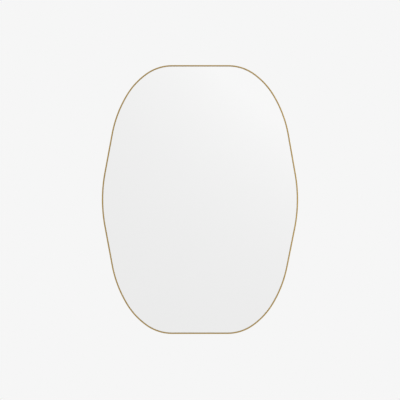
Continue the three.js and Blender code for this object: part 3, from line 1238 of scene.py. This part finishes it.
@dataclass
class Assembly:
    """What every sub-assembly is made with, and how its pieces are set out and claimed."""

    outline: Outline
    trees: Trees
    finishes: Finishes

    def claim(self, piece: Piece, body: Body, slot: Slot, *nodes: str) -> Piece:
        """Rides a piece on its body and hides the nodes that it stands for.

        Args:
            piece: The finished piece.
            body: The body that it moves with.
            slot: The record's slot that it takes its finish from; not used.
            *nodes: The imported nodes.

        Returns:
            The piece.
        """
        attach(piece, body.value)
        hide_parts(*nodes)
        LOG.info("%s: %d faces on %s", piece.name, len(piece.data.polygons), body.value)
        return piece

    def set_out(self, name: str, pattern: Piece, seats: list[Seat], y: float, finish: bpy.types.Material,
                slot: Slot, *nodes: str, **turns: Any) -> Piece:
        """Sets copies of a pattern out on seats, fixed to the mirror, and discards the pattern.

        Args:
            name: The piece's name.
            pattern: What is copied.
            seats: Where the copies are, and their turns.
            y: The plane that they sit on.
            finish: What they wear.
            slot: The record's slot that they take their finish from.
            *nodes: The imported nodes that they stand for.
            **turns: How far they turn at random, and the seed.

        Returns:
            The piece.
        """
        piece = mesh_object(name, [(seat.x, y, seat.z) for seat in seats], [])
        turn = piece.data.attributes.new("turn", "FLOAT", "POINT")
        turn.data.foreach_set("value", [seat.turn for seat in seats])
        run_tree(piece, self.trees.set_out, {"Piece": pattern, "Finish": finish, **turns})
        discard(pattern)
        return self.claim(piece, Body.MIRROR, slot, *nodes)


@dataclass
class FrameBar(Assembly):
    """The brass bar that goes all the way round."""

    edge_radius: float = 0.4 * MM
    edge_steps: int = 4

    def build(self) -> Piece:
        """Sweeps the bar round the outline.

        Returns:
            The piece.
        """
        low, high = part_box("frame_band")
        ring = [(station.x, station.z, 0.0) for station in reversed(self.outline.stations())]
        piece = closed_path("brass_bar", ring)
        run_tree(piece, self.trees.bar, {
            "Bar thickness": BAR_THICKNESS,
            "Bar depth": high.y - low.y,
            "Edge radius": self.edge_radius,
            "Edge steps": self.edge_steps,
            "Middle plane": (low.y + high.y) / 2,
            "Finish": self.finishes.brass,
        })
        return self.claim(piece, Body.MIRROR, Slot.FRAME, "frame_band")


@dataclass
class GlassLeaf(Assembly):
    """The silvered glass, its edge ground and its arrises polished."""

    arris: float = 0.5 * MM
    arris_slope: float = 0.5

    def build(self) -> Piece:
        """Makes the glass and gives each of its faces its finish.

        The front arris is clear and bends the view into the silvering, so it is shaded as the front is.

        Returns:
            The piece.
        """
        low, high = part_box("mirror_glass")
        inset = self.outline.width / 2 - high.x
        piece = self.outline.plate("glass_leaf", [
            (inset + self.arris, low.y),
            (inset, low.y + self.arris),
            (inset, high.y - self.arris),
            (inset + self.arris, high.y),
        ])
        for finish in (self.finishes.glass_edge, self.finishes.silver, self.finishes.back_paint):
            piece.data.materials.append(finish)
        forwards = Vector((0.0, -1.0, 0.0))
        shading: list[Vector] = []
        for face in piece.data.polygons:
            shown = face.normal.copy()
            if face.normal.y < -self.arris_slope:
                face.material_index = 1
                shown = forwards
            elif face.normal.y > self.arris_slope:
                face.material_index = 2
            shading += [shown] * face.loop_total
        piece.data.normals_split_custom_set(shading)
        return self.claim(piece, Body.MIRROR, Slot.MIRROR, "mirror_glass")


@dataclass
class Backing(Assembly):
    """The film, the foam strips and the board behind the glass."""

    edge: float = 0.3 * MM
    strips: int = 4

    def build(self, frame: dict[str, Any]) -> Piece:
        """Dresses the film and the board, and makes the foam strips.

        Args:
            frame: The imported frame.

        Returns:
            The strips.
        """
        for node, finish in (("safety_film", self.finishes.film), ("back_panel", self.finishes.board)):
            for slot in frame["nodes"][node].material_slots:
                slot.material = finish
            LOG.info("%s: dressed in %s", node, finish.name)
        names = [f"foam_tape_{i + 1}" for i in range(self.strips)]
        strips = bmesh.new()
        for name in names:
            low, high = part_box(name)
            made = bmesh.ops.create_cube(strips, size=1.0)
            for vert in made["verts"]:
                vert.co = (low + high) / 2 + Vector(map(lambda a, b: a * b, vert.co, high - low))
        piece = mesh_object("foam_strips", [], [])
        strips.to_mesh(piece.data)
        strips.free()
        piece.data.materials.append(self.finishes.foam)
        soften(piece, self.edge)
        return self.claim(piece, Body.MIRROR, Slot.FOAM, *names)


@dataclass
class Screws(Assembly):
    """Pan-head cross-recess screws, all driven from behind."""

    shank_radius: float = 1.75 * MM
    head_radius: float = 3.6 * MM
    head_height: float = 2 * MM
    head_rounding: float = 0.95 * MM
    rounding_steps: int = 5
    tip_length: float = 1.5 * MM
    bite: float = 7 * MM
    recess_span: float = 3.4 * MM
    recess_width: float = 0.8 * MM
    recess_depth: float = 1.2 * MM
    recess_overshoot: float = 0.5 * MM
    recess_taper: Pair = (0.55, 1.1)
    sides: int = 24
    seed: int = 11

    def pattern(self, seat_thickness: float) -> Piece:
        """One screw, its head's seat at y = 0.

        Args:
            seat_thickness: What it passes through before the board.

        Returns:
            The screw.
        """
        length = seat_thickness + self.bite
        head = rounded([
            (self.head_radius, 0.0, 0.0),
            (self.head_radius, self.head_height, self.head_rounding),
            (0.0, self.head_height, 0.0),
        ], self.rounding_steps)
        screw = lathe("screw_pattern", [
            (0.0, -length),
            (self.shank_radius, self.tip_length - length),
            (self.shank_radius, 0.0),
            *head,
        ], self.sides)
        ends = (self.head_height - self.recess_depth, self.head_height + self.recess_overshoot)
        arms = []
        for wide, tall in ((self.recess_span, self.recess_width), (self.recess_width, self.recess_span)):
            corners = []
            for y, taper in zip(ends, self.recess_taper):
                across = wide / 2 * (taper if wide > tall else 1)
                along = tall / 2 * (taper if tall > wide else 1)
                corners += [(x * across, y, z * along) for x, z in ((-1, -1), (1, -1), (1, 1), (-1, 1))]
            arms.append(face_out(mesh_object("recess", corners, tube_faces(0, 2, 4))))
        return pierce(screw, arms)

    def build(self, name: str, nodes: list[str], seat_thickness: float) -> Piece:
        """Sets screws out where their nodes are.

        Args:
            name: The piece's name.
            nodes: The screws' nodes.
            seat_thickness: What they pass through before the board.

        Returns:
            The piece.
        """
        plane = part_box(nodes[0])[1].y - self.head_height
        return self.set_out(name, self.pattern(seat_thickness), middles(nodes), plane, self.finishes.zinc,
                            Slot.ZINC, *nodes, **{"Random turn": math.pi / 2, "Seed": self.seed})


@dataclass(frozen=True)
class Bead:
    """A bead of braze that runs up one edge of a lug, with its ripples."""

    radius: float = 0.9 * MM
    sides: int = 10
    rows: int = 15
    ripples: float = 4.5
    ripple_height: float = 0.12
    tip: float = 0.05
    bluntness: int = 6
    margin: float = 0.3
    behind: float = 0.45
    squash: float = 0.9

    def points(self, x: float, length: float) -> list[Point]:
        """The bead's points, row by row.

        Args:
            x: Where it runs.
            length: How long the edge is.

        Returns:
            The points.
        """
        points: list[Point] = []
        for row in range(self.rows):
            share = row / (self.rows - 1)
            ripple = 1 + self.ripple_height * math.sin(share * TURN * self.ripples)
            swell = math.sqrt(max(0.0, 1 - (2 * share - 1) ** self.bluntness))
            radius = self.radius * ripple * max(swell, self.tip)
            y = self.radius * self.margin + share * (length - 2 * self.radius * self.margin)
            for i in range(self.sides):
                angle = TURN * i / self.sides
                z = -self.radius * self.behind + radius * self.squash * math.sin(angle)
                points.append((x + radius * math.cos(angle), y, z))
        return points


@dataclass
class Lugs(Assembly):
    """Angle lugs, brazed inside the bar and screwed to the board."""

    count: int = 8
    width: float = 16 * MM
    reach: float = 22 * MM
    thickness: float = 1.5 * MM
    upstand: float = 6 * MM
    inner_bend: float = 0.6 * MM
    outer_bend: float = 0.9 * MM
    screw_inset: float = 14 * MM
    drill_depth: float = 3 * MM
    weld_gap: float = 0.3 * MM
    edge: float = 0.25 * MM
    bead: Bead = Bead()

    def seats(self) -> list[Seat]:
        """Where the lugs sit, at even steps round the frame.

        Returns:
            The seats, each clear of the bar's bend.
        """
        bend = (self.width / 2) ** 2 / (2 * (self.outline.crown_radius - BAR_THICKNESS))
        inset = BAR_THICKNESS + self.weld_gap + bend
        return [self.outline.seat((i + 0.5) / self.count, inset) for i in range(self.count)]

    def lug(self) -> Piece:
        """One lug, its plate on y = 0 and its upstand along z = 0.

        Returns:
            The lug.
        """
        section = rounded([
            (0.0, -self.reach, 0.0),
            (self.thickness, -self.reach, 0.0),
            (self.thickness, -self.thickness, self.inner_bend),
            (self.upstand, -self.thickness, 0.0),
            (self.upstand, 0.0, 0.0),
            (0.0, 0.0, self.outer_bend),
            (0.0, -self.reach, 0.0),
        ])[:-1]
        points = [(x, y, z) for x in (-self.width / 2, self.width / 2) for y, z in section]
        lug = face_out(mesh_object("lug_pattern", points, tube_faces(0, 2, len(section))))
        pierce(lug, [drill(self.drill_depth, -self.screw_inset)])
        return soften(lug, self.edge)

    def beads(self) -> Piece:
        """The two beads of one lug.

        Returns:
            The beads.
        """
        points: list[Point] = []
        faces: list[Face] = []
        for x in (-self.width / 2, self.width / 2):
            faces += tube_faces(len(points), self.bead.rows, self.bead.sides)
            points += self.bead.points(x, self.upstand)
        return face_out(mesh_object("bead_pattern", points, faces))

    def build(self) -> list[Piece]:
        """Sets the lugs and their beads out.

        Returns:
            The two pieces.
        """
        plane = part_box("panel_lug_1")[0].y
        nodes = [f"panel_lug_{i + 1}" for i in range(self.count)]
        return [
            self.set_out("lugs", self.lug(), self.seats(), plane, self.finishes.brass, Slot.FRAME, *nodes),
            self.set_out("lug_beads", self.beads(), self.seats(), plane, self.finishes.weld, Slot.FRAME),
        ]


@dataclass
class Hangers(Assembly):
    """Strap hangers with rolled eyes, and the D-rings that swing in them."""

    strap_width: float = 12 * MM
    strap_thickness: float = 1.2 * MM
    strap_length: float = 51.6 * MM
    foot_steps: int = 16
    shank_steps: int = 8
    screw_drops: Pair = (29.6 * MM, 43.6 * MM)
    drill_depth: float = 2 * MM
    eye_radius: float = 3.0 * MM
    eye_turn: float = 318.0
    eye_steps: int = 40
    wire_radius: float = 1.5 * MM
    ring_inner_width: float = 20 * MM
    leg_length: float = 8 * MM
    bend_radius: float = 3 * MM
    edge: float = 0.2 * MM

    def strap(self) -> Piece:
        """One strap: a plate on y = 0, round at its foot, that rolls into an eye about z = 0.

        Returns:
            The strap.
        """
        half, thick, eye = self.strap_width / 2, self.strap_thickness, self.eye_radius
        rows: list[tuple[float, Pair, Pair]] = []
        for i in range(1, self.foot_steps + 1):
            angle = math.pi / 2 * i / self.foot_steps
            z = half * (1 - math.cos(angle)) - self.strap_length
            rows.append((half * math.sin(angle), (0.0, z), (thick, z)))
        shank_end = half - self.strap_length
        for i in range(1, self.shank_steps + 1):
            z = shank_end * (1 - i / self.shank_steps)
            rows.append((half, (0.0, z), (thick, z)))
        for i in range(1, self.eye_steps + 1):
            angle = math.radians(self.eye_turn) * i / self.eye_steps
            outer, inner = ((eye - radius * math.cos(angle), radius * math.sin(angle))
                            for radius in (eye, eye - thick))
            rows.append((half, outer, inner))
        points: list[Point] = []
        for wide, outer, inner in rows:
            points += [(-wide, *outer), (wide, *outer), (wide, *inner), (-wide, *inner)]
        strap = face_out(mesh_object("strap_pattern", points, tube_faces(0, len(rows), 4)))
        pierce(strap, [drill(self.drill_depth, -drop) for drop in self.screw_drops])
        return soften(strap, self.edge)

    def ring(self, side: str, body: Body) -> Piece:
        """One D-ring, hanging from its straight bar.

        Args:
            side: "left" or "right".
            body: The ring's body.

        Returns:
            The piece.
        """
        node = f"hanger_ring_{side}"
        low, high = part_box(node)
        arc = self.ring_inner_width / 2 + self.wire_radius
        half_bar = Move(length=arc - self.bend_radius)
        bend = Move(radius=self.bend_radius, turn=90)
        leg = Move(length=self.leg_length)
        path = walk((low.x + high.x) / 2, high.z - self.wire_radius,
                    [half_bar, bend, leg, Move(radius=arc, turn=180), leg, bend, half_bar])
        y = (low.y + high.y) / 2
        piece = closed_path(f"ring_{side}", [(station.x, y, station.z) for station in path])
        run_tree(piece, self.trees.wire, {"Wire radius": self.wire_radius, "Finish": self.finishes.zinc})
        return self.claim(piece, body, Slot.ZINC, node)

    def build(self) -> list[Piece]:
        """Makes both straps and both rings.

        Returns:
            The pieces.
        """
        nodes = ["hanger_strap_left", "hanger_strap_right"]
        boxes = [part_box(node) for node in nodes]
        seats = [Seat((low.x + high.x) / 2, high.z - self.eye_radius) for low, high in boxes]
        return [
            self.set_out("straps", self.strap(), seats, boxes[0][0].y, self.finishes.zinc, Slot.ZINC, *nodes),
            self.ring("left", Body.LEFT_RING),
            self.ring("right", Body.RIGHT_RING),
        ]


@dataclass
class Bumpers(Assembly):
    """Rubber bumpers near the corners, each with a well for its screw's head."""

    corners: tuple[str, ...] = ("top_right", "bottom_right", "bottom_left", "top_left")
    base_radius: float = 9 * MM
    base_rounding: float = 0.25 * MM
    waist_rounding: float = 0.5 * MM
    foot_radius: float = 7.5 * MM
    foot_rounding: float = 0.8 * MM
    floor: float = 3 * MM
    height: float = 9.6 * MM
    well_radius: float = 4.2 * MM
    well_rounding: float = 0.4 * MM
    rounding_steps: int = 5
    sides: int = 40

    def pattern(self) -> Piece:
        """One bumper, its base on y = 0.

        Returns:
            The bumper.
        """
        profile = rounded([
            (SCREW_HOLE_RADIUS, 0.0, 0.0),
            (self.base_radius, 0.0, self.base_rounding),
            (self.base_radius, self.floor, self.waist_rounding),
            (self.foot_radius, self.height, self.foot_rounding),
            (self.well_radius, self.height, self.well_rounding),
            (self.well_radius, self.floor, self.well_rounding),
            (SCREW_HOLE_RADIUS, self.floor, 0.0),
            (SCREW_HOLE_RADIUS, 0.0, 0.0),
        ], self.rounding_steps)
        return lathe("bumper_pattern", profile, self.sides)

    def build(self) -> Piece:
        """Sets the bumpers out where their nodes are.

        Returns:
            The piece.
        """
        nodes = [f"bumper_{corner}" for corner in self.corners]
        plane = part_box(nodes[0])[0].y
        return self.set_out("bumpers", self.pattern(), middles(nodes), plane, self.finishes.rubber,
                            Slot.RUBBER, *nodes)


# ---------------------------------------------------------------- the studio


@dataclass(frozen=True)
class Lamp:
    """A soft oblong lamp that looks at the mirror's middle."""

    name: str
    place: Point
    width: float
    height: float
    power: float
    on_metal: bool = False


@dataclass
class Studio:
    """The camera, the pale surroundings, the lamps and the floor."""

    distance: float = 6.0
    half_view: float = 623.46 * MM
    drop: float = 1.43 * MM
    sensor: float = 36.0
    backdrop: float = 0.9216
    plain_light: float = 0.74
    glow_place: Pair = (0.15, 0.20)
    glow_edge: float = 0.197
    glow_fade: float = 0.06
    glow_gain: float = 0.119
    dim: float = 0.874
    low_rise: Pair = (-0.75, -0.2)
    low_light: float = 0.62
    floor_drop: float = 1.05
    floor_radius: float = 3.0
    floor_sides: int = 96
    floor_fade: Pair = (0.35, 0.97)
    floor_colour: Point = (0.84, 0.84, 0.84)
    floor_rough: float = 0.9
    floor_shine: float = 0.1
    lamps: tuple[Lamp, ...] = (
        Lamp("key", (1.7, -2.2, 1.6), 1.4, 1.4, 8.0),
        Lamp("fill", (-2.2, -1.8, 0.4), 1.6, 1.6, 4.0),
        Lamp("rear", (-1.2, 2.4, 1.7), 1.6, 1.6, 5.0),
        Lamp("side", (1.05, -1.3, 0.1), 0.9, 1.8, 8.0, on_metal=True),
    )

    def camera(self) -> None:
        """Sets the camera in front of the mirror, so far off that the picture is nearly flat."""
        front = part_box("frame_band")[0].y
        data = bpy.data.cameras.new("camera")
        data.sensor_width = self.sensor
        data.lens = self.sensor / 2 * self.distance / self.half_view
        camera = bpy.data.objects.new("camera", data)
        camera.location = (0.0, front - self.distance, -self.drop)
        camera.rotation_euler = (math.pi / 2, 0.0, 0.0)
        bpy.context.scene.collection.objects.link(camera)
        bpy.context.scene.camera = camera

    def surroundings(self) -> None:
        """Sets the world: the backdrop as seen, what metal and glass show, and plain soft light."""
        world = bpy.data.worlds.new("surroundings")
        bpy.context.scene.world = world
        world.use_nodes = True
        world.node_tree.nodes.clear()
        tree = Tree(world.node_tree)
        way = tree.parts(tree.add("ShaderNodeTexCoord").outputs["Generated"])
        off = tree.reach(tree.combine(tree.math("SUBTRACT", way["X"], self.glow_place[0]),
                                      tree.math("SUBTRACT", way["Z"], self.glow_place[1])))
        past = tree.math("DIVIDE", tree.math("SUBTRACT", self.glow_edge, off), self.glow_fade)
        glow = tree.math("MULTIPLY", tree.math("EXPONENT", past), self.glow_gain)
        glow = tree.math("MULTIPLY", glow, tree.math("LESS_THAN", way["Y"], 0.0))
        lit = tree.math("MINIMUM", tree.math("ADD", glow, self.dim), 1.0)
        shown = tree.math("MULTIPLY", lit, tree.spread(way["Z"], *self.low_rise, self.low_light, 1.0))
        ray = tree.add("ShaderNodeLightPath").outputs
        mirrored = tree.math("MULTIPLY", ray["Is Glossy Ray"], tree.math("SUBTRACT", shown, self.plain_light))
        unseen = tree.math("ADD", mirrored, self.plain_light)
        seen = tree.math("MAXIMUM", ray["Is Camera Ray"], ray["Is Transmission Ray"])
        change = tree.math("MULTIPLY", seen, tree.math("SUBTRACT", self.backdrop, unseen))
        feeds = {"Color": rgba(WHITE), "Strength": tree.math("ADD", change, unseen)}
        backdrop = tree.add("ShaderNodeBackground", feeds)
        tree.add("ShaderNodeOutputWorld", {"Surface": backdrop.outputs[0]})

    def light(self) -> None:
        """Hangs the lamps: one shows in the metal, and the glass shows none of them."""
        apart = bpy.data.collections.new("unlit_by_side_lamp")
        apart.objects.link(bpy.data.objects["glass_leaf"])
        apart.collection_objects[0].light_linking.link_state = "EXCLUDE"
        for lamp in self.lamps:
            data = bpy.data.lights.new(lamp.name, "AREA")
            data.shape = "RECTANGLE"
            data.size = lamp.width
            data.size_y = lamp.height
            data.energy = lamp.power
            bulb = bpy.data.objects.new(lamp.name, data)
            bulb.location = lamp.place
            bulb.rotation_euler = (-Vector(lamp.place)).to_track_quat("-Z", "Y").to_euler()
            bulb.visible_glossy = lamp.on_metal
            if lamp.on_metal:
                bulb.light_linking.receiver_collection = apart
            bpy.context.scene.collection.objects.link(bulb)

    def floor(self) -> None:
        """Lays a pale floor that fades into the backdrop at its rim, and is clear from below."""
        angles = [TURN * i / self.floor_sides for i in range(self.floor_sides)]
        rim = [(self.floor_radius * math.cos(angle), self.floor_radius * math.sin(angle), -self.floor_drop)
               for angle in angles]
        floor = mesh_object("floor", rim, [tuple(range(self.floor_sides))])
        surface = Surface("pale_floor")
        surface.dress(Base_Color=rgba(self.floor_colour), Roughness=self.floor_rough,
                      Specular_IOR_Level=self.floor_shine)
        out = surface.reach(surface.times(surface.where(), (1.0, 1.0, 0.0)))
        fade = surface.spread(out, *(self.floor_radius * share for share in self.floor_fade))
        plain = surface.add("ShaderNodeEmission", {"Color": rgba(WHITE), "Strength": self.backdrop})
        lit = surface.shader.outputs[0]
        above = surface.add("ShaderNodeMixShader", {0: fade, 1: lit, 2: plain.outputs[0]})
        clear = surface.add("ShaderNodeBsdfTransparent", {"Color": rgba(WHITE)})
        under = surface.add("ShaderNodeNewGeometry").outputs["Backfacing"]
        sided = surface.add("ShaderNodeMixShader", {0: under, 1: above.outputs[0], 2: clear.outputs[0]})
        surface.feed(surface.output.inputs["Surface"], sided.outputs[0])
        floor.data.materials.append(surface.material)

    def build(self) -> None:
        """Sets the whole studio up."""
        self.camera()
        self.surroundings()
        self.light()
        self.floor()
        bpy.context.scene.view_settings.view_transform = "Standard"
        LOG.info("studio: %d lamps, camera %.2f m off", len(self.lamps), self.distance)


def main() -> None:
    """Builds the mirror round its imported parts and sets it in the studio."""
    logging.basicConfig(level=logging.INFO, format="%(name)s %(message)s", stream=sys.stdout)
    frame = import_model()
    made_with = (Outline(), Trees(), Finishes())
    FrameBar(*made_with).build()
    GlassLeaf(*made_with).build()
    Backing(*made_with).build(frame)
    lugs, hangers, bumpers = Lugs(*made_with), Hangers(*made_with), Bumpers(*made_with)
    lugs.build()
    hangers.build()
    bumpers.build()
    screws = Screws(*made_with)
    lug_screws = [f"lug_screw_{i + 1}" for i in range(lugs.count)]
    strap_screws = [f"hanger_screw_{side}_{level}"
                    for side in ("left", "right") for level in ("upper", "lower")]
    bumper_screws = [f"bumper_screw_{corner}" for corner in bumpers.corners]
    screws.build("lug_screws", lug_screws, lugs.thickness)
    screws.build("strap_screws", strap_screws, hangers.strap_thickness)
    screws.build("bumper_screws", bumper_screws, bumpers.floor)
    Studio().build()


if __name__ == "__main__":
    main()
